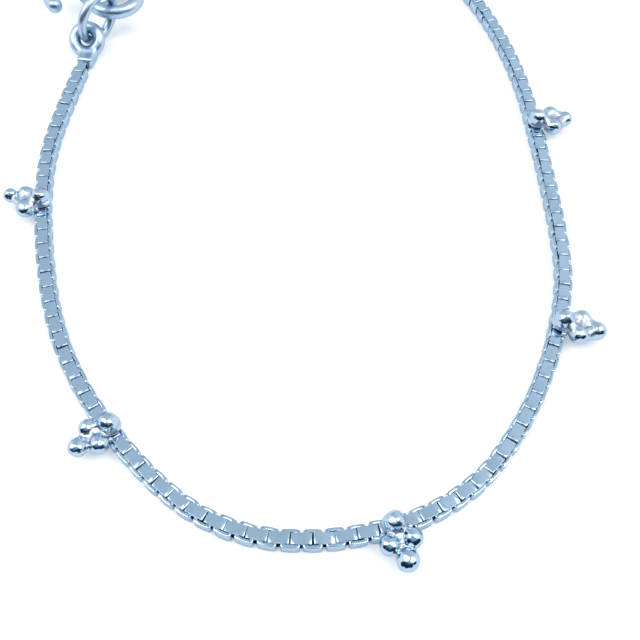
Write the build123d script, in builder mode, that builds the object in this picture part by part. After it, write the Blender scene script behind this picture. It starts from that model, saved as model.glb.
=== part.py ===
from build123d import *
import os
from math import cos, pi, radians, sin, tan

# A silver anklet (payal): one soft run of box chain that lies in an open loop, seven clusters of
# four grains on its outer side, and a clasp of two end loops, two jump rings and a flat S-hook.
# Millimetres. The loop lies on Z = 0 with +Z up, and X = Y = 0 is the middle of its outline.

# chain
chain_width = 1.85
chain_height = 1.6
chain_corner = 0.42
chain_gap = 0.04
chain_mid = chain_height / 2

# The chain's route, from the end loop beside the hook's bowl, down the left side, round the
# front, up the right side and over the back to the end loop beside the hook's arch.
chain_route = [
    (-28.48, 14.25),
    (-29.67, 6.64),
    (-30.46, -4.64),
    (-27.59, -19.36),
    (-23.86, -30.18),
    (-18.36, -38.71),
    (-10.71, -46.7),
    (-4.09, -50.36),
    (3.33, -51.2),
    (11.89, -49.57),
    (18.86, -45.79),
    (23.61, -40.14),
    (27.86, -32.27),
    (31.2, -21.99),
    (31.68, -13.66),
    (31.1, -0.55),
    (30.22, 12.55),
    (27.05, 25.35),
    (23.05, 33.95),
    (17.25, 41.35),
    (10.25, 46.75),
    (2.15, 49.95),
    (-6.85, 49.65),
    (-15.15, 46.15),
    (-21.26, 39.34),
    (-24.65, 33.22),
]
arc_share = 0.45

# clusters: places in the cluster's own frame, X outward across the chain, Y along it, and
# each grain's rise of its centre over the chain's top
top_grain_diameter = 2.06
top_grain_out = 0.15
top_grain_rise = 0.85
side_grain_out = 2.0
side_grain_along = 1.15
side_grain_rise = 0.27
tip_grain_out = 3.8
tip_grain_rise = 0.15
neck_throat = 0.56
neck_grip = 52.0
neck_depth = 0.9
web_thickness = 0.76
collar_radius = 1.15
collar_height = 0.45

# one row a cluster: how far along the chain it sits, how far it is set out, how far its tip
# grain leans along the chain, and the diameters of its two side grains and its tip grain
cluster_rows = [
    {"station": 25.0, "out": -0.20, "lean": -1.30, "first": 1.92, "second": 2.08, "tip": 1.66},
    {"station": 57.25, "out": -0.30, "lean": 0.05, "first": 1.70, "second": 1.95, "tip": 1.96},
    {"station": 89.35, "out": -0.20, "lean": 0.05, "first": 1.96, "second": 1.98, "tip": 2.18},
    {"station": 120.2, "out": 0.20, "lean": 0.10, "first": 1.95, "second": 1.78, "tip": 2.04},
    {"station": 150.95, "out": 0.10, "lean": 0.30, "first": 2.00, "second": 1.90, "tip": 1.82},
    {"station": 184.4, "out": 0.0, "lean": -0.15, "first": 1.90, "second": 2.00, "tip": 1.98},
    {"station": 217.2, "out": -0.1, "lean": 0.10, "first": 1.98, "second": 1.92, "tip": 2.02},
]

# end loops and jump rings: places in the frame of a chain end, X onward into the clasp
cap_length = 2.2
cap_width = 2.15
cap_edge = 0.45
loop_radius = 1.65
loop_wire = 1.6
loop_centre = (3.696, 0.562, 1.96)
loop_normal = (-0.585, -0.061, 0.809)
jump_radius = 3.17
jump_wire = 1.25
jump_centre = (6.12, -0.561, 3.86)
jump_normal = (0.361, 0.927, 0.106)

# the S-hook: a bowl on its right and an arch on its left, drawn from its middle
hook_centre = (-28.19, 24.61, 3.89)
hook_turn = -4.72
hook_radius = 3.07
hook_wire = 1.8
bowl_sweep = 215.0
arch_sweep = 235.0
tip_swell = 1.12


def corner_radius(before, corner, after):
    """The radius of the largest arc that both runs at a corner leave room for."""
    run_in = Vector(*corner) - Vector(*before)
    run_out = Vector(*after) - Vector(*corner)
    half_turn = radians(run_in.get_angle(run_out)) / 2
    return arc_share * min(run_in.length, run_out.length) / tan(half_turn)


corner_radii = [
    corner_radius(before, corner, after)
    for before, corner, after in zip(chain_route, chain_route[1:], chain_route[2:])
]


# chain: one tube of the chain's outer section
with BuildPart() as box_chain:
    with BuildLine(Plane.XY.offset(chain_mid)) as chain_line:
        FilletPolyline(*chain_route, radius=corner_radii)
    chain_path = chain_line.wires()[0]
    start_plane = Plane(chain_path @ 0, x_dir=(0, 0, 1), z_dir=chain_path % 0)
    with BuildSketch(start_plane):
        RectangleRounded(chain_height, chain_width, chain_corner)
    sweep(path=chain_path)
chain_length = chain_path.length


def chain_end_plane(where):
    """The floor frame of a chain end, 0 or 1, whose X runs on from the chain into the clasp."""
    onward = chain_path % where * (1 if where else -1)
    origin = chain_path @ where
    return Plane((origin.X, origin.Y, 0), x_dir=(onward.X, onward.Y, 0), z_dir=(0, 0, 1))


def cluster_plane(station):
    """The floor frame under the chain at a station, whose X points out of the loop."""
    origin = chain_path @ (station / chain_length)
    along = chain_path % (station / chain_length)
    return Plane((origin.X, origin.Y, 0), x_dir=(along.Y, -along.X, 0), z_dir=(0, 0, 1))


def solder_neck(centre_a, radius_a, centre_b, radius_b):
    """A waisted neck of solder between two grains, turned about the line between them."""
    axis = centre_b - centre_a
    span = axis.length
    grip_along = neck_depth * cos(radians(neck_grip))
    grip_out = neck_depth * sin(radians(neck_grip))
    plane = Plane(centre_a, x_dir=axis, z_dir=axis.cross(Vector(0, 0, 1)))
    foot_a = (radius_a * grip_along, radius_a * grip_out)
    foot_b = (span - radius_b * grip_along, radius_b * grip_out)
    middle = ((foot_a[0] + foot_b[0]) / 2, neck_throat)
    with BuildSketch(plane) as profile:
        with BuildLine():
            Polyline(foot_a, (foot_a[0], 0), (foot_b[0], 0), foot_b)
            ThreePointArc(foot_b, middle, foot_a)
        make_face()
    revolve(profile.sketch, axis=Axis(centre_a, axis))


def solder_web(corner_a, corner_b, corner_c):
    """A flat web of solder that fills the space between three grains."""
    normal = (corner_b - corner_a).cross(corner_c - corner_a)
    plane = Plane(corner_a, x_dir=corner_b - corner_a, z_dir=normal)
    corners = [plane.to_local_coords(corner) for corner in (corner_a, corner_b, corner_c)]
    with BuildSketch(plane) as profile:
        with BuildLine():
            Polyline(*[(corner.X, corner.Y) for corner in corners], close=True)
        make_face()
    extrude(profile.sketch, amount=web_thickness / 2, both=True)


def grain_cluster(row):
    """Four grains run together in a rhombus: one on the chain, two beside it, one at the tip."""
    plane = cluster_plane(row["station"])
    top_out = top_grain_out + row["out"]
    side_out = side_grain_out + row["out"]
    tip_out = tip_grain_out + row["out"]
    grains = {
        "top": (top_out, 0, chain_height + top_grain_rise, top_grain_diameter / 2),
        "first": (side_out, -side_grain_along, chain_height + side_grain_rise, row["first"] / 2),
        "second": (side_out, side_grain_along, chain_height + side_grain_rise, row["second"] / 2),
        "tip": (tip_out, row["lean"], chain_height + tip_grain_rise, row["tip"] / 2),
    }
    centres = {name: plane.from_local_coords(Vector(x, y, z)) for name, (x, y, z, r) in grains.items()}
    radii = {name: r for name, (x, y, z, r) in grains.items()}
    middle = plane.from_local_coords(Vector(side_out, 0, 0))
    necks = [("top", "first"), ("top", "second"), ("first", "second"), ("first", "tip"), ("second", "tip")]
    seat = chain_height + chain_gap
    with BuildPart() as cluster:
        for name, centre in centres.items():
            with Locations(Plane(centre, x_dir=centre - middle, z_dir=(0, 0, 1))):
                Sphere(radii[name])
        for name_a, name_b in necks:
            solder_neck(centres[name_a], radii[name_a], centres[name_b], radii[name_b])
        solder_web(centres["top"], centres["first"], centres["second"])
        solder_web(centres["first"], centres["tip"], centres["second"])
        with BuildSketch(plane.offset(seat)):
            with Locations((top_out, 0)):
                Circle(collar_radius)
        extrude(amount=collar_height)
        # the chain's own room, so that the cluster sits on it with a small gap
        with BuildSketch(plane):
            Rectangle(chain_width + 2 * chain_gap, 3 * top_grain_diameter)
        extrude(amount=seat, mode=Mode.SUBTRACT)
    return cluster.part


clusters = [grain_cluster(row) for row in cluster_rows]


def wire_ring(plane, centre, normal, radius, wire):
    """A closed ring of round wire in the frame of a chain end, with its seam on the chain's side."""
    ring_plane = Plane(
        plane.from_local_coords(Vector(*centre)),
        x_dir=-plane.x_dir,
        z_dir=plane.from_local_coords(Vector(*normal)) - plane.origin,
    )
    section_plane = Plane(ring_plane.origin, x_dir=ring_plane.x_dir, z_dir=ring_plane.y_dir)
    with BuildSketch(section_plane) as section:
        with Locations((radius, 0)):
            Circle(wire / 2)
    revolve(section.sketch, axis=Axis(ring_plane.origin, ring_plane.z_dir))


def end_loop(plane):
    """A soldered cap beyond the chain's last link, run into a closed ring of wire."""
    with BuildPart() as piece:
        cap_plane = Plane(
            plane.from_local_coords(Vector(chain_gap, 0, chain_mid + chain_gap)),
            x_dir=plane.y_dir,
            z_dir=plane.x_dir,
        )
        with BuildSketch(cap_plane):
            RectangleRounded(cap_width, chain_height, cap_edge)
        extrude(amount=cap_length)
        wire_ring(plane, loop_centre, loop_normal, loop_radius, loop_wire)
    return piece.part


def jump_ring(plane):
    """A plain jump ring between an end loop and the hook."""
    with BuildPart() as piece:
        wire_ring(plane, jump_centre, jump_normal, jump_radius, jump_wire)
    return piece.part


end_planes = [chain_end_plane(0), chain_end_plane(1)]
end_loops = [end_loop(plane) for plane in end_planes]
jump_rings = [jump_ring(plane) for plane in end_planes]


# S-hook: round wire along two arcs, with slightly swollen round tips
with BuildPart() as s_hook:
    hook_plane = Plane(hook_centre).rotated((0, 0, hook_turn))
    with BuildLine(hook_plane) as hook_line:
        arch = CenterArc((-hook_radius, 0), hook_radius, arch_sweep, -arch_sweep)
        bowl = CenterArc((hook_radius, 0), hook_radius, 180, bowl_sweep)
    hook_path = hook_line.wires()[0]
    with BuildSketch(Plane(hook_path @ 0, z_dir=hook_path % 0)):
        Circle(hook_wire / 2)
    sweep(path=hook_path)
    arch_tip = Plane(hook_path @ 0, x_dir=-(hook_path % 0), z_dir=(0, 0, 1))
    bowl_tip = Plane(hook_path @ 1, x_dir=hook_path % 1, z_dir=(0, 0, 1))
    with Locations(arch_tip, bowl_tip):
        Sphere(tip_swell * hook_wire / 2)


pieces = {"box_chain": box_chain.part, "s_hook": s_hook.part}
for number, part in enumerate(clusters, start=1):
    pieces[f"cluster_{number}"] = part
for number, part in enumerate(end_loops, start=1):
    pieces[f"end_loop_{number}"] = part
for number, part in enumerate(jump_rings, start=1):
    pieces[f"jump_ring_{number}"] = part

os.makedirs("parts", exist_ok=True)
for name, part in pieces.items():
    part.label = name
    export_step(part, f"parts/{name}.step")

section_area = chain_width * chain_height - (4 - pi) * chain_corner**2
print("chain length", round(chain_length, 1))
print("chain volume", round(box_chain.part.volume, 1), "section times length", round(section_area * chain_length, 1))
print("chain corner radii", [round(radius, 1) for radius in corner_radii])
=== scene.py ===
"""Looks of a silver payal anklet: a box chain with clusters of grains, and an S-hook clasp.

The anklet lies on a pale floor. Sizes are in millimetres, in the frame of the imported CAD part,
and turn into Blender's metres where a mesh or an object is made.
"""

import math

import bpy
import numpy as np
from mathutils import Matrix, Vector


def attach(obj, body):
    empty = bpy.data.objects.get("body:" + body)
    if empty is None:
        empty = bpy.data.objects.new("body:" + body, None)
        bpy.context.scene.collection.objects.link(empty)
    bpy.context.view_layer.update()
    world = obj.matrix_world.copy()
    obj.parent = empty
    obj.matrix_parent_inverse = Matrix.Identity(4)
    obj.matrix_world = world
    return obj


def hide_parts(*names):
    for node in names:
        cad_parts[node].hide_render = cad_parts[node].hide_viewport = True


MM = 0.001

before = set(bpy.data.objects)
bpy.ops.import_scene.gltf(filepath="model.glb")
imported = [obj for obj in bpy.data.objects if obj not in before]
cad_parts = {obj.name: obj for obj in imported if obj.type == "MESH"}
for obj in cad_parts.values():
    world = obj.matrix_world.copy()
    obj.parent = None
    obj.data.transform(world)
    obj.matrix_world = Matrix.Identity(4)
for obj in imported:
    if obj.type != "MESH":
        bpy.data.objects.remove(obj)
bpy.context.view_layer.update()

# ---------------------------------------------------------------- camera

CAMERA_PLACE = (3.85, -78.15, 79.9)
# degrees below the horizon, and degrees about the line of sight
CAMERA_PITCH = 56.7
CAMERA_ROLL = 1.0
CAMERA_LENS = 48.8
# the nearest and the farthest that it sees, in metres
CAMERA_CLIP = (0.005, 50)


def make_camera():
    """A camera above and in front of the loop, looking down on it."""
    data = bpy.data.cameras.new("camera")
    data.lens = CAMERA_LENS
    data.clip_start, data.clip_end = CAMERA_CLIP
    camera = bpy.data.objects.new("camera", data)
    tilt = Matrix.Rotation(math.radians(90 - CAMERA_PITCH), 4, "X")
    roll = Matrix.Rotation(math.radians(CAMERA_ROLL), 4, "Z")
    camera.matrix_world = Matrix.Translation(Vector(CAMERA_PLACE) * MM) @ tilt @ roll
    bpy.context.collection.objects.link(camera)
    bpy.context.scene.camera = camera


make_camera()

# ---------------------------------------------------------------- the chain's line

# The same route as in the CAD part, from the end loop beside the hook's bowl to the one beside
# its arch.
CHAIN_ROUTE = [
    (-28.48, 14.25),
    (-29.67, 6.64),
    (-30.46, -4.64),
    (-27.59, -19.36),
    (-23.86, -30.18),
    (-18.36, -38.71),
    (-10.71, -46.7),
    (-4.09, -50.36),
    (3.33, -51.2),
    (11.89, -49.57),
    (18.86, -45.79),
    (23.61, -40.14),
    (27.86, -32.27),
    (31.2, -21.99),
    (31.68, -13.66),
    (31.1, -0.55),
    (30.22, 12.55),
    (27.05, 25.35),
    (23.05, 33.95),
    (17.25, 41.35),
    (10.25, 46.75),
    (2.15, 49.95),
    (-6.85, 49.65),
    (-15.15, 46.15),
    (-21.26, 39.34),
    (-24.65, 33.22),
]
CHAIN_HEIGHT = 1.6
CHAIN_MID = CHAIN_HEIGHT / 2
# the curve's order, and its steps from one point of the route to the next
ROUTE_ORDER = 3
ROUTE_STEPS = 40
# how far to either side of a place its direction is measured
DIRECTION_REACH = 0.4


class Line:
    """A smooth level line, read by its length."""

    def __init__(self, route, height):
        curve = bpy.data.curves.new("route", "CURVE")
        curve.dimensions = "3D"
        spline = curve.splines.new("NURBS")
        spline.points.add(len(route) - 1)
        for point, (x, y) in zip(spline.points, route):
            point.co = (x, y, height, 1)
        spline.order_u = ROUTE_ORDER
        spline.use_endpoint_u = True
        spline.resolution_u = ROUTE_STEPS
        holder = bpy.data.objects.new("route", curve)
        bpy.context.collection.objects.link(holder)
        bpy.context.view_layer.update()
        mesh = bpy.data.meshes.new_from_object(holder)
        self.points = np.array([vertex.co for vertex in mesh.vertices])
        bpy.data.objects.remove(holder)
        bpy.data.meshes.remove(mesh)
        steps = np.linalg.norm(np.diff(self.points, axis=0), axis=1)
        self.stations = np.concatenate([[0], np.cumsum(steps)])
        self.length = self.stations[-1]

    def at(self, station):
        """The point and the direction at a length along the line."""
        place = self._point(station)
        ahead = self._point(min(station + DIRECTION_REACH, self.length))
        behind = self._point(max(station - DIRECTION_REACH, 0))
        along = ahead - behind
        return place, along / np.linalg.norm(along)

    def _point(self, station):
        return np.array([np.interp(station, self.stations, axis) for axis in self.points.T])


chain_line = Line(CHAIN_ROUTE, CHAIN_MID)

# ---------------------------------------------------------------- meshes


def new_piece(name, vertices, faces, material):
    """A smooth mesh piece from millimetre vertices, riding on the part."""
    mesh = bpy.data.meshes.new(name)
    points = [tuple(vertex) for vertex in vertices * MM]
    mesh.from_pydata(points, [], [tuple(map(int, face)) for face in faces])
    mesh.validate()
    mesh.shade_smooth()
    mesh.materials.append(material)
    piece = bpy.data.objects.new(name, mesh)
    bpy.context.collection.objects.link(piece)
    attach(piece, "root")
    return piece


# ---------------------------------------------------------------- materials

SILVER_TINT = (0.40, 0.54, 0.69)
EDGE_TINT = (0.72, 0.78, 0.84)
# the middle of a noise's range, which most of it keeps within
NOISE_MIDDLE = (0.3, 0.7)
# the share by which the polish strays to either side of a look's roughness
POLISH_SPREAD = 0.25
MOTTLE_DETAIL = 3
DENT_DETAIL = 1
# the fine worked surface has lumps of this size
WORKED_SIZE = 0.15
WORKED_DETAIL = 2


def ramp(material, low, high):
    """A colour ramp over the middle of a noise's range."""
    node = material.node_tree.nodes.new("ShaderNodeValToRGB")
    first, last = node.color_ramp.elements
    first.position, last.position = NOISE_MIDDLE
    first.color, last.color = (*low, 1), (*high, 1)
    return node


def noise(material, size, detail):
    """Noise in the object's own space, whose lumps are about a size in millimetres."""
    nodes = material.node_tree.nodes
    place = nodes.new("ShaderNodeTexCoord")
    node = nodes.new("ShaderNodeTexNoise")
    node.inputs["Scale"].default_value = 1 / (size * MM)
    node.inputs["Detail"].default_value = detail
    material.node_tree.links.new(place.outputs["Object"], node.inputs["Vector"])
    return node


def spread(material, source, low, high):
    """Maps the middle of a noise's range onto a range of values."""
    node = material.node_tree.nodes.new("ShaderNodeMapRange")
    node.inputs["From Min"].default_value = NOISE_MIDDLE[0]
    node.inputs["From Max"].default_value = NOISE_MIDDLE[1]
    node.inputs["To Min"].default_value = low
    node.inputs["To Max"].default_value = high
    material.node_tree.links.new(source, node.inputs["Value"])
    return node


def relief(material, source, height, under=None):
    """A bump of a height in millimetres, over another bump's normal if there is one."""
    links = material.node_tree.links
    node = material.node_tree.nodes.new("ShaderNodeBump")
    node.inputs["Distance"].default_value = height * MM
    links.new(source, node.inputs["Height"])
    if under is not None:
        links.new(under.outputs["Normal"], node.inputs["Normal"])
    return node


def silver(name, look, solder=None):
    """Bluish silver with faint mottling, uneven polish, soft dents and a fine worked surface.

    With a solder look, the mesh's solder attribute fades the surface into that of solder.
    """
    material = bpy.data.materials.new(name)
    material.use_nodes = True
    nodes = material.node_tree.nodes
    links = material.node_tree.links
    shader = nodes["Principled BSDF"]
    shader.inputs["Metallic"].default_value = 1.0
    shader.inputs["Specular Tint"].default_value = (*EDGE_TINT, 1)

    mottle = noise(material, look["mottle_size"], MOTTLE_DETAIL)
    colour = ramp(material, [part * look["mottle"] for part in look["tint"]], look["tint"])
    links.new(mottle.outputs["Fac"], colour.inputs["Fac"])
    polish = spread(
        material,
        mottle.outputs["Fac"],
        look["roughness"] * (1 - POLISH_SPREAD),
        look["roughness"] * (1 + POLISH_SPREAD),
    )
    colour_out, polish_out = colour.outputs["Color"], polish.outputs["Result"]
    if solder is not None:
        share = nodes.new("ShaderNodeAttribute")
        share.attribute_name = "solder"
        tone = nodes.new("ShaderNodeMix")
        tone.data_type = "RGBA"
        tone.inputs["B"].default_value = (*solder["tint"], 1)
        links.new(share.outputs["Fac"], tone.inputs["Factor"])
        links.new(colour_out, tone.inputs["A"])
        fade = nodes.new("ShaderNodeMapRange")
        links.new(share.outputs["Fac"], fade.inputs["Value"])
        links.new(polish_out, fade.inputs["To Min"])
        fade.inputs["To Max"].default_value = solder["roughness"]
        colour_out, polish_out = tone.outputs["Result"], fade.outputs["Result"]
    links.new(colour_out, shader.inputs["Base Color"])
    links.new(polish_out, shader.inputs["Roughness"])

    lumps = noise(material, look["dent_size"], DENT_DETAIL)
    dents = relief(material, lumps.outputs["Fac"], look["dents"])
    fine_lumps = noise(material, WORKED_SIZE, WORKED_DETAIL)
    worked = relief(material, fine_lumps.outputs["Fac"], look["worked"], under=dents)
    links.new(worked.outputs["Normal"], shader.inputs["Normal"])
    return material


# Each look: its tint, roughness, the level of its darkest mottling and the size of that, the size
# and the depth of its dents, and the depth of its worked surface.
LINK_LOOK = {
    "tint": SILVER_TINT,
    "roughness": 0.15,
    "mottle": 0.93,
    "mottle_size": 1.5,
    "dent_size": 1.2,
    "dents": 0.012,
    "worked": 0.0015,
}
GRAIN_LOOK = {
    "tint": SILVER_TINT,
    "roughness": 0.12,
    "mottle": 0.93,
    "mottle_size": 0.8,
    "dent_size": 0.6,
    "dents": 0.10,
    "worked": 0.001,
}
CLASP_LOOK = {
    "tint": SILVER_TINT,
    "roughness": 0.34,
    "mottle": 0.92,
    "mottle_size": 1.2,
    "dent_size": 1.0,
    "dents": 0.05,
    "worked": 0.002,
}
SOLDER_LOOK = {"tint": (0.44, 0.53, 0.645), "roughness": 0.32}
LINK_SILVER = silver("link_silver", LINK_LOOK)
GRAIN_SILVER = silver("grain_silver", GRAIN_LOOK, solder=SOLDER_LOOK)
CLASP_SILVER = silver("clasp_silver", CLASP_LOOK)

# ---------------------------------------------------------------- chain links

LINK_PITCH = 2.1
LINK_SEED = 7

# The two kinds of link, one standing, one lying: a flat strip bent into a rounded box. A kind has
# its length along the chain, its size across it, the strip's thickness and width, the radius of
# its bends and of the strip's edges, and how far its long sides swell.
STANDING = {
    "long": 2.05,
    "across": 1.5,
    "strip": 0.28,
    "wide": 1.12,
    "corner": 0.14,
    "edge": 0.04,
    "belly": 0.025,
}
LYING = {
    "long": 1.86,
    "across": 1.89,
    "strip": 0.37,
    "wide": 1.22,
    "corner": 0.3,
    "edge": 0.055,
    "belly": 0.03,
}
# how far from a bend its side has swollen fully
BELLY_RUN = 0.4
BEND_STEPS = 5
# where the rounding of an edge is cut, as a share of its radius
EDGE_CUT = 0.3
# how much links stray from the chain's line by chance: tilt, sway and roll, in degrees
LINK_STRAY = (2.4, 1.2, 2.0)
FLAT_WEIGHT = 90


def strip_section(kind):
    """The strip's section: (how far in from the link's outside, how far across the strip)."""
    half, thick, edge = kind["wide"] / 2, kind["strip"], kind["edge"]
    cut = EDGE_CUT * edge
    return [
        (edge, -half),
        (cut, -half + cut),
        (0, -half + edge),
        (0, half - edge),
        (cut, half - cut),
        (edge, half),
        (thick - edge, half),
        (thick, half - edge),
        (thick, -half + edge),
        (thick - edge, -half),
    ]


def box_link(kind):
    """One link in its own frame: X along the chain, Z across the box, Y across the strip.

    Its two long sides swell a little towards their middles.
    """
    corner = kind["corner"]
    end = kind["long"] / 2 - corner
    level = kind["across"] / 2 - corner
    stops = []
    for quarter, (sx, sz) in enumerate([(1, 1), (-1, 1), (-1, -1), (1, -1)]):
        bend = []
        for step in range(BEND_STEPS + 1):
            angle = math.radians(90 * quarter + 90 * step / BEND_STEPS)
            middle = (sx * end, sz * (level - kind["belly"]))
            bend.append((middle, (math.cos(angle), math.sin(angle))))
        belly = [((sx * (end - BELLY_RUN), sz * level), (0, sz))]
        stops += bend + belly if sx == sz else belly + bend
    section = strip_section(kind)
    vertices = []
    for (cx, cz), (nx, nz) in stops:
        for inward, across in section:
            radius = corner - inward
            vertices.append((cx + nx * radius, across, cz + nz * radius))
    faces = []
    around, ring = len(stops), len(section)
    for stop in range(around):
        here, ahead = stop * ring, ((stop + 1) % around) * ring
        for corner_number in range(ring):
            beside = (corner_number + 1) % ring
            faces.append(
                (here + corner_number, here + beside, ahead + beside, ahead + corner_number)
            )
    return np.array(vertices), np.array(faces)


def turn(axis, degrees):
    """A rotation matrix about one axis of the link's frame."""
    return np.array(Matrix.Rotation(math.radians(degrees), 3, axis))


def make_chain():
    """Every link of the chain, laid along its line, standing and lying by turns."""
    random = np.random.default_rng(LINK_SEED)
    half_link = STANDING["long"] / 2
    pairs = round((chain_line.length - 2 * half_link) / LINK_PITCH)
    pitch = (chain_line.length - 2 * half_link) / pairs
    shapes = [box_link(STANDING), box_link(LYING)]
    vertices, faces, count = [], [], 0
    for number in range(2 * pairs + 1):
        lying = number % 2
        place, along = chain_line.at(half_link + number * pitch / 2)
        basis = np.column_stack([along, np.cross((0, 0, 1), along), (0, 0, 1)])
        tilt, sway, roll = random.normal(0, 1, 3) * LINK_STRAY
        pose = turn("X", roll + 90 * lying) @ turn("Y", tilt) @ turn("Z", sway)
        shape, rings = shapes[lying]
        vertices.append(shape @ (basis @ pose).T + place)
        faces.append(rings + count)
        count += len(shape)
    piece = new_piece("chain_links", np.vstack(vertices), np.vstack(faces), LINK_SILVER)
    keep_flats_flat(piece)
    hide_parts("box_chain")


def keep_flats_flat(piece):
    """Shades the strip's flats as flat, so that only its rounded edges and bends turn."""
    flat = piece.modifiers.new("flat", "WEIGHTED_NORMAL")
    flat.weight = FLAT_WEIGHT


make_chain()

# ---------------------------------------------------------------- grain clusters

# grains: how far out from the chain's line, how far along it and how far above the floor
TOP_GRAIN = {"out": 0.15, "rise": 2.45, "radius": 1.03}
SIDE_GRAIN = {"out": 2.0, "along": 1.15, "rise": 1.87}
TIP_GRAIN = {"out": 3.8, "rise": 1.75}
# how far a grain's skin strays from a ball, and how fast, in radians a millimetre
GRAIN_WOBBLE = 0.06
WOBBLE_TURN = 2.4
# the solder's webs between grains: half their thickness as a share of the bars', and how far
# bars and webs lie under the grains' middles
WEB_SHARE = 0.75
WEB_DROP = 0.12
# how widely solder runs into a grain's skin, and how far from the grain its look has faded in
SOLDER_BLEND = 0.35
SOLDER_FADE = 0.05
# the collar under the top grain: a disc, and a round neck that joins it to the grain
COLLAR = {"radius": 1.2, "rise": 1.86, "half": 0.23, "neck": 0.85}
# small runs of solder beside the collar: out, along, rise, radius
SOLDER_RUNS = [(0.70, -1.40, 1.66, 0.30), (0.55, 1.35, 1.70, 0.26)]
# the box that a cluster's skin is looked for in, in its own frame
CLUSTER_ROOM = ((-1.4, -2.6, 0.5), (5.2, 2.6, 3.9))

# skins: the grid's step, the rounds that settle their vertices, and the least square of a slope
# that a round divides by
GRID_STEP = 0.085
SETTLE_ROUNDS = 4
LEAST_SLOPE = 0.25

# the CAD tube's length, which the stations along it are measured on
TUBE_LENGTH = 242.7
# Each cluster: its station, how far it is moved out, how far its tip grain leans along the chain,
# the diameters of its two side grains and of its tip grain, and the radius of the solder's bars,
# with its own value at the tip grain where that differs.
CLUSTERS = [
    {
        "node": "cluster_1", "station": 25.0, "out": -0.2, "lean": -1.3,
        "first": 1.92, "second": 2.08, "tip": 1.66, "neck": 0.8, "tip_neck": 0.42,
    },
    {
        "node": "cluster_2", "station": 57.25, "out": -0.3, "lean": 0.05,
        "first": 1.7, "second": 1.95, "tip": 1.96, "neck": 0.46,
    },
    {
        "node": "cluster_3", "station": 89.35, "out": -0.2, "lean": 0.05,
        "first": 1.96, "second": 1.98, "tip": 2.18, "neck": 0.48,
    },
    {
        "node": "cluster_4", "station": 120.2, "out": 0.2, "lean": 0.1,
        "first": 1.95, "second": 1.78, "tip": 2.04, "neck": 0.76,
    },
    {
        "node": "cluster_5", "station": 150.95, "out": 0.1, "lean": 0.3,
        "first": 2.0, "second": 1.9, "tip": 1.82, "neck": 0.78,
    },
    {
        "node": "cluster_6", "station": 184.4, "out": 0.0, "lean": -0.15,
        "first": 1.9, "second": 2.0, "tip": 1.98, "neck": 0.50,
    },
    {
        "node": "cluster_7", "station": 217.2, "out": -0.1, "lean": 0.1,
        "first": 1.98, "second": 1.92, "tip": 2.02, "neck": 0.50,
    },
]


def ball(points, centre, radius):
    """Distance to a ball."""
    return np.linalg.norm(points - centre, axis=-1) - radius


def bar(points, start, end, radius):
    """Distance to a round-ended bar."""
    span = end - start
    share = np.clip((points - start) @ span / (span @ span), 0, 1)
    return np.linalg.norm(points - start - share[..., None] * span, axis=-1) - radius


def plate(points, corners, half):
    """Distance to a flat three-cornered plate with round edges."""
    a, b, c = corners
    normal = np.cross(b - a, c - a)
    normal = normal / np.linalg.norm(normal)
    height = (points - a) @ normal
    inside = np.full(points.shape[:-1], True)
    edges = []
    for start, end in ((a, b), (b, c), (c, a)):
        inward = np.cross(normal, end - start)
        inside &= (points - start) @ inward > 0
        edges.append(bar(points, start, end, 0))
    return np.where(inside, np.abs(height), np.minimum.reduce(edges)) - half


def disc(points, centre, radius, half):
    """Distance to a level disc with a round edge."""
    arm = points - centre
    reach = np.maximum(np.hypot(arm[..., 0], arm[..., 1]) - radius + half, 0)
    return np.hypot(reach, arm[..., 2]) - half


def blend(first, second, width):
    """A smooth union of two distances."""
    overlap = np.maximum(width - np.abs(first - second), 0) / width
    return np.minimum(first, second) - overlap**3 * width / 6


def skin(field, low, high, step):
    """The surface where a field of distances is zero, as vertices and four-sided faces."""
    axes = [np.arange(lo, hi + step, step) for lo, hi in zip(low, high)]
    grid = np.stack(np.meshgrid(*axes, indexing="ij"), axis=-1)
    inside = field(grid) < 0
    shape = np.array(inside.shape) - 1
    corners = [(i, j, k) for i in (0, 1) for j in (0, 1) for k in (0, 1)]
    filled = sum(
        inside[i : i + shape[0], j : j + shape[1], k : k + shape[2]].astype(int)
        for i, j, k in corners
    )
    crossed = (filled > 0) & (filled < len(corners))
    index = np.full(crossed.shape, -1)
    index[crossed] = np.arange(crossed.sum())
    vertices = grid[:-1, :-1, :-1][crossed] + step / 2
    faces = []
    for axis in range(3):
        side, up = (axis + 1) % 3, (axis + 2) % 3
        here = np.take(inside, range(inside.shape[axis] - 1), axis=axis)
        beyond = np.take(inside, range(1, inside.shape[axis]), axis=axis)
        for cell in np.argwhere(here != beyond):
            around = []
            for back_side, back_up in ((0, 0), (1, 0), (1, 1), (0, 1)):
                spot = cell.copy()
                spot[side] -= back_side
                spot[up] -= back_up
                around.append(index[tuple(spot)])
            faces.append(around if here[tuple(cell)] else around[::-1])
    return settle(field, vertices, step), faces


def settle(field, vertices, step):
    """Moves vertices onto the field's zero surface."""
    reach = step / 4
    for _ in range(SETTLE_ROUNDS):
        values = field(vertices)
        slope = np.stack(
            [
                (field(vertices + offset) - field(vertices - offset)) / (2 * reach)
                for offset in np.eye(3) * reach
            ],
            axis=-1,
        )
        size = np.maximum(np.sum(slope**2, axis=-1), LEAST_SLOPE)
        vertices = vertices - slope * (values / size)[:, None]
    return vertices


def grain_places(row):
    """The centres and radii of a cluster's top, first, second and tip grains.

    X is outward, Y along the chain, Z up.
    """

    def centre(kind, along):
        return np.array((kind["out"] + row["out"], along, kind["rise"]))

    return [
        (centre(TOP_GRAIN, 0), TOP_GRAIN["radius"]),
        (centre(SIDE_GRAIN, -SIDE_GRAIN["along"]), row["first"] / 2),
        (centre(SIDE_GRAIN, SIDE_GRAIN["along"]), row["second"] / 2),
        (centre(TIP_GRAIN, row["lean"]), row["tip"] / 2),
    ]


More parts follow.
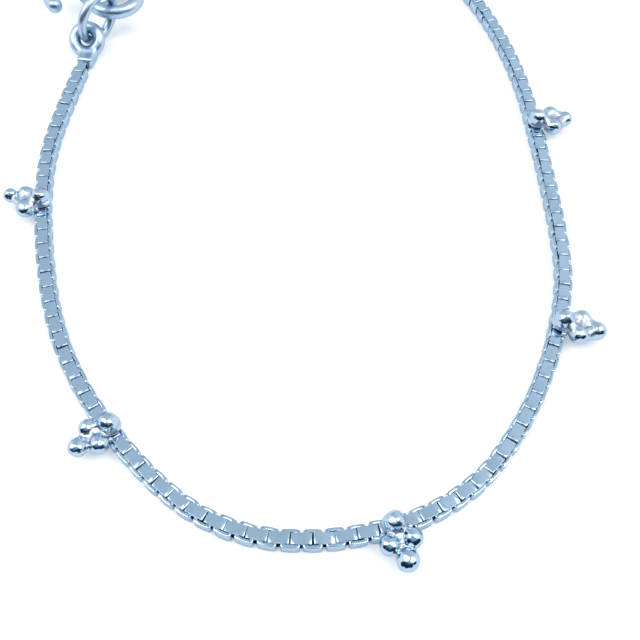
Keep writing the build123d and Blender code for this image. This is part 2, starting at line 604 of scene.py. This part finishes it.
def wobble(row, points):
    """The slight unevenness of hand-made grains, which differs from cluster to cluster."""
    phase = np.array((1, 2, 3)) * row["station"]
    return GRAIN_WOBBLE * np.prod(np.sin(points * WOBBLE_TURN + phase), axis=-1)


def grains_only(row, points):
    """The distance to a cluster's nearest grain."""
    balls = [ball(points, centre, radius) for centre, radius in grain_places(row)]
    return np.minimum.reduce(balls) + wobble(row, points)


def solder_share(row, points):
    """How far each point of a cluster's skin is on solder, from 0 on a grain to 1."""
    return np.clip(grains_only(row, points) / SOLDER_FADE, 0, 1)


def cluster_field(row):
    """The distances of one cluster in its own frame."""
    top, first, second, tip = (centre for centre, _ in grain_places(row))
    foot = np.array((top[0], 0, COLLAR["rise"]))
    drop = np.array((0, 0, WEB_DROP))
    neck = row["neck"]
    tip_neck = row.get("tip_neck", neck)

    def field(points):
        solder = np.minimum.reduce(
            [
                bar(points, top - drop, first - drop, neck),
                bar(points, top - drop, second - drop, neck),
                bar(points, first - drop, second - drop, neck),
                bar(points, first - drop, tip - drop, tip_neck),
                bar(points, second - drop, tip - drop, tip_neck),
                plate(points, (top - drop, first - drop, second - drop), WEB_SHARE * neck),
                plate(points, (first - drop, tip - drop, second - drop), WEB_SHARE * tip_neck),
                bar(points, foot + (0, 0, COLLAR["neck"] - COLLAR["half"]), top, COLLAR["neck"]),
                disc(points, foot, COLLAR["radius"], COLLAR["half"]),
                *[ball(points, (x, y, z), radius) for x, y, z, radius in SOLDER_RUNS],
            ]
        )
        return blend(grains_only(row, points), solder, SOLDER_BLEND)

    return field


def make_cluster(row):
    """Four grains and their solder as one smooth skin, in the place of its CAD solid."""
    place, along = chain_line.at(row["station"] * chain_line.length / TUBE_LENGTH)
    basis = np.column_stack([np.cross(along, (0, 0, 1)), along, (0, 0, 1)])
    vertices, faces = skin(cluster_field(row), *CLUSTER_ROOM, GRID_STEP)
    solder = solder_share(row, vertices)
    placed = vertices @ basis.T + (place[0], place[1], 0)
    piece = new_piece(row["node"] + "_grains", placed, faces, GRAIN_SILVER)
    piece.data.attributes.new("solder", "FLOAT", "POINT").data.foreach_set("value", solder)
    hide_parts(row["node"])


for cluster_row in CLUSTERS:
    make_cluster(cluster_row)

# ---------------------------------------------------------------- clasp

# the end loops, in the frame of a chain end, whose X runs on into the clasp
END_CAP = {"start": 0.04, "long": 2.2, "wide": 2.15, "low": 0.04, "high": 1.64, "edge": 0.45}
END_RING = {
    "centre": (3.696, 0.562, 1.96),
    "normal": (-0.585, -0.061, 0.809),
    "radius": 1.65,
    "wire": 1.6,
}
# how widely the cap runs into the ring, and the box that their skin is looked for in
END_SOLDER = 1.1
END_ROOM = ((-0.1, -2.9, -0.1), (6.2, 3.6, 4.2))


def end_loop_field(points):
    """The distances of a cap run into a ring of wire."""
    start, half, edge = END_CAP["start"], END_CAP["wide"] / 2, END_CAP["edge"]
    low = np.array((start, -half, END_CAP["low"])) + edge
    high = np.array((start + END_CAP["long"], half, END_CAP["high"])) - edge
    nearest = np.clip(points, low, high)
    cap = np.linalg.norm(points - nearest, axis=-1) - edge
    normal = np.array(END_RING["normal"]) / np.linalg.norm(END_RING["normal"])
    arm = points - np.array(END_RING["centre"])
    height = arm @ normal
    reach = np.linalg.norm(arm - height[..., None] * normal, axis=-1)
    ring = np.hypot(reach - END_RING["radius"], height) - END_RING["wire"] / 2
    return blend(cap, ring, END_SOLDER)


def make_end_loop(number, end, before):
    """A chain end's cap and ring as one smooth skin, in the place of its CAD solid."""
    onward = np.array((*end, 0.0)) - np.array((*before, 0.0))
    onward /= np.linalg.norm(onward)
    basis = np.column_stack([onward, np.cross((0, 0, 1), onward), (0, 0, 1)])
    vertices, faces = skin(end_loop_field, *END_ROOM, GRID_STEP)
    name = f"end_loop_{number}"
    piece = new_piece(name + "_soldered", vertices @ basis.T + (*end, 0), faces, CLASP_SILVER)
    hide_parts(name)


make_end_loop(1, CHAIN_ROUTE[0], CHAIN_ROUTE[1])
make_end_loop(2, CHAIN_ROUTE[-1], CHAIN_ROUTE[-2])

for clasp_node in ("jump_ring_1", "jump_ring_2", "s_hook"):
    clasp_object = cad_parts[clasp_node]
    clasp_object.data.materials.clear()
    clasp_object.data.materials.append(CLASP_SILVER)

# ---------------------------------------------------------------- floor and light


FLOOR_HALF = 4.0
# just under the anklet, so that nothing lies in its plane
FLOOR_HEIGHT = -0.00002
FLOOR_SHADES = [(0.62, 0.655, 0.685), (0.645, 0.68, 0.71)]
FLOOR_ROUGHNESS = 0.8
FLOOR_GLOSS = 0.1
FLOOR_GRAIN = 40
FLOOR_GLOW = (0.95, 0.97, 1.0)
FLOOR_GLOW_LEVEL = 0.36

# The world's light: a pale sky, and a dark blue room on the camera's side, each one hue with
# its levels from straight down to straight up as (place on the ramp, brightness).
SKY_HUE = (0.89, 0.97, 1.02)
SKY_LEVELS = [(0.0, 0.76), (0.3, 0.85), (0.6, 0.885), (1.0, 0.885)]
ROOM_HUE = (0.62, 0.95, 1.25)
ROOM_LEVELS = [(0.0, 0.02), (0.42, 0.045), (0.62, 0.29), (0.8, 0.7), (1.0, 0.92)]
# how far round a direction has to be for none and for all of the right, a side or the room
RIGHT_SPAN = (0.08, 0.28)
SIDE_SPAN = (0.5, 0.8)
ROOM_SPAN = (-0.1, -0.5)
RIGHT_LIGHT = (1.0, 1.03, 1.05)
SIDE_LIGHT = (1.44, 1.36, 1.29)
# what the camera itself sees behind the floor
BACKDROP = (0.96, 0.97, 0.98)

# two soft lights side by side over the anklet, in metres
BOX_GAP = 0.2
BOX_SIZE = (1.3, 0.80)
BOX_BACK = -0.18
BOX_HEIGHT = 1.0
BOX_RADIANCE = 3.5
BOX_COLOUR = (1.0, 0.87, 0.77)


def floor_material():
    """Plain pale matte card with a very faint grain, lit a little from below like a light table."""
    material = bpy.data.materials.new("pale_card")
    material.use_nodes = True
    nodes = material.node_tree.nodes
    links = material.node_tree.links
    shader = nodes["Principled BSDF"]
    shader.inputs["Roughness"].default_value = FLOOR_ROUGHNESS
    shader.inputs["Specular IOR Level"].default_value = FLOOR_GLOSS
    shader.inputs["Emission Color"].default_value = (*FLOOR_GLOW, 1)
    shader.inputs["Emission Strength"].default_value = FLOOR_GLOW_LEVEL
    grain = nodes.new("ShaderNodeTexNoise")
    grain.inputs["Scale"].default_value = FLOOR_GRAIN
    colour = nodes.new("ShaderNodeValToRGB")
    for element, shade in zip(colour.color_ramp.elements, FLOOR_SHADES):
        element.color = (*shade, 1)
    links.new(grain.outputs["Fac"], colour.inputs["Fac"])
    links.new(colour.outputs["Color"], shader.inputs["Base Color"])
    return material


def make_floor():
    """A wide pale floor just under the anklet."""
    mesh = bpy.data.meshes.new("floor")
    corners = [(x * FLOOR_HALF, y * FLOOR_HALF, 0) for x, y in ((-1, -1), (1, -1), (1, 1), (-1, 1))]
    mesh.from_pydata(corners, [], [(0, 1, 2, 3)])
    mesh.materials.append(floor_material())
    floor = bpy.data.objects.new("floor", mesh)
    floor.location.z = FLOOR_HEIGHT
    bpy.context.collection.objects.link(floor)


def set_stops(ramp_node, hue, levels):
    """Fills a colour ramp with one hue at several levels: (position, brightness)."""
    elements = ramp_node.color_ramp.elements
    while len(elements) < len(levels):
        elements.new(0.5)
    for element, (position, _) in zip(elements, levels):
        element.position = position
    for element, (_, level) in zip(elements, levels):
        element.color = (*[part * level for part in hue], 1)


def eased(world, source, span):
    """Rises smoothly from 0 to 1 as a value goes from a span's first number to its second."""
    node = world.node_tree.nodes.new("ShaderNodeMapRange")
    node.interpolation_type = "SMOOTHSTEP"
    node.inputs["From Min"].default_value = span[0]
    node.inputs["From Max"].default_value = span[1]
    world.node_tree.links.new(source, node.inputs["Value"])
    return node


def mixed(world, share, first, second):
    """A mix of two lights: a socket, and another socket or a plain colour."""
    node = world.node_tree.nodes.new("ShaderNodeMix")
    node.data_type = "RGBA"
    world.node_tree.links.new(share.outputs["Result"], node.inputs["Factor"])
    world.node_tree.links.new(first, node.inputs["A"])
    if isinstance(second, tuple):
        node.inputs["B"].default_value = (*second, 1)
    else:
        world.node_tree.links.new(second, node.inputs["B"])
    return node


def make_world():
    """A pale studio, brighter to the right and at its sides, and dark low on the camera's side."""
    world = bpy.data.worlds.new("studio")
    bpy.context.scene.world = world
    world.use_nodes = True
    nodes = world.node_tree.nodes
    links = world.node_tree.links
    place = nodes.new("ShaderNodeTexCoord")
    split = nodes.new("ShaderNodeSeparateXYZ")
    links.new(place.outputs["Generated"], split.inputs["Vector"])

    sky = nodes.new("ShaderNodeValToRGB")
    set_stops(sky, SKY_HUE, SKY_LEVELS)
    links.new(split.outputs["Z"], sky.inputs["Fac"])
    room = nodes.new("ShaderNodeValToRGB")
    set_stops(room, ROOM_HUE, ROOM_LEVELS)
    links.new(split.outputs["Z"], room.inputs["Fac"])

    to_the_right = eased(world, split.outputs["X"], RIGHT_SPAN)
    with_right = mixed(world, to_the_right, sky.outputs["Color"], RIGHT_LIGHT)
    sideways = nodes.new("ShaderNodeMath")
    sideways.operation = "ABSOLUTE"
    links.new(split.outputs["X"], sideways.inputs[0])
    to_a_side = eased(world, sideways.outputs["Value"], SIDE_SPAN)
    with_sides = mixed(world, to_a_side, with_right.outputs["Result"], SIDE_LIGHT)
    to_the_room = eased(world, split.outputs["Y"], ROOM_SPAN)
    with_room = mixed(world, to_the_room, with_sides.outputs["Result"], room.outputs["Color"])

    studio = nodes["Background"]
    links.new(with_room.outputs["Result"], studio.inputs["Color"])
    backdrop = nodes.new("ShaderNodeBackground")
    backdrop.inputs["Color"].default_value = (*BACKDROP, 1)
    rays = nodes.new("ShaderNodeLightPath")
    mix = nodes.new("ShaderNodeMixShader")
    links.new(rays.outputs["Is Camera Ray"], mix.inputs["Fac"])
    links.new(studio.outputs["Background"], mix.inputs[1])
    links.new(backdrop.outputs["Background"], mix.inputs[2])
    links.new(mix.outputs["Shader"], nodes["World Output"].inputs["Surface"])


def softbox(name, place, size, aim, radiance, colour):
    """An oval soft light, sized in metres, that looks the same brightness all over."""
    data = bpy.data.lights.new(name, "AREA")
    data.shape = "ELLIPSE"
    data.size, data.size_y = size
    # the power of a matte surface is its radiance times pi times its area
    data.energy = radiance * math.pi**2 / 4 * size[0] * size[1]
    data.color = colour
    light = bpy.data.objects.new(name, data)
    light.location = place
    light.rotation_euler = (Vector(aim) - Vector(place)).to_track_quat("-Z", "Y").to_euler()
    bpy.context.collection.objects.link(light)


make_floor()
make_world()
for side in (-1, 1):
    across = side * (BOX_SIZE[0] / 2 + BOX_GAP / 2)
    place, aim = (across, BOX_BACK, BOX_HEIGHT), (across, BOX_BACK, 0)
    softbox(f"softbox_{side}", place, BOX_SIZE, aim, BOX_RADIANCE, BOX_COLOUR)

bpy.context.scene.view_settings.view_transform = "Standard"
